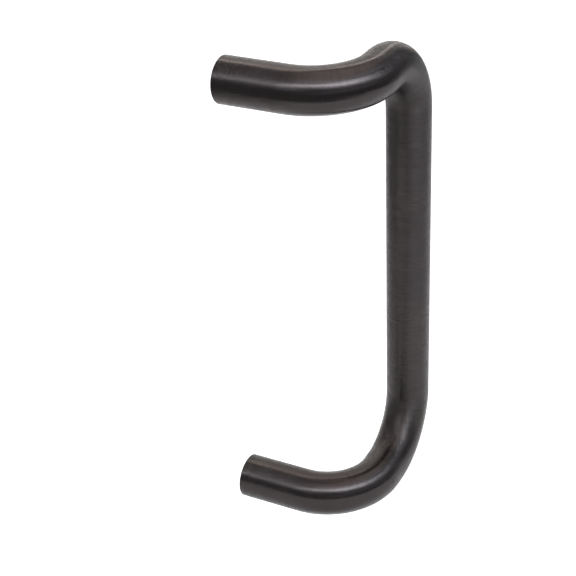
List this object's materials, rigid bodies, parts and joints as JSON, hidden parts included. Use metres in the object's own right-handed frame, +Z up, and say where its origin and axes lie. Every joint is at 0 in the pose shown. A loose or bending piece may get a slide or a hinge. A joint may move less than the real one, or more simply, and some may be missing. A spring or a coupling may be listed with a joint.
{
  "type": "offset pull handle",
  "caption": "Round-bar offset door pull: a straight vertical grip that stands off the door and to one side of its two tapped mounting ends, bent from solid bar.",
  "frame": {"origin": "on the door face, midway between the axes of the upper and the lower tapped hole", "axes": "+Z up along the grip; +Y into the door, along both tapped holes and out of their mouths, so the pull stands out towards -Y; +X from the line of the holes to the side where the grip lies"},
  "size_m": [0.1016, 0.0841, 0.2794],
  "materials": {
    "dark_bronze_bar": "dark bronze anodised, brushed round the bar to a fine satin"
  },
  "bodies": {
    "root": {"pull_bar": "dark_bronze_bar"}
  },
  "joints": []
}
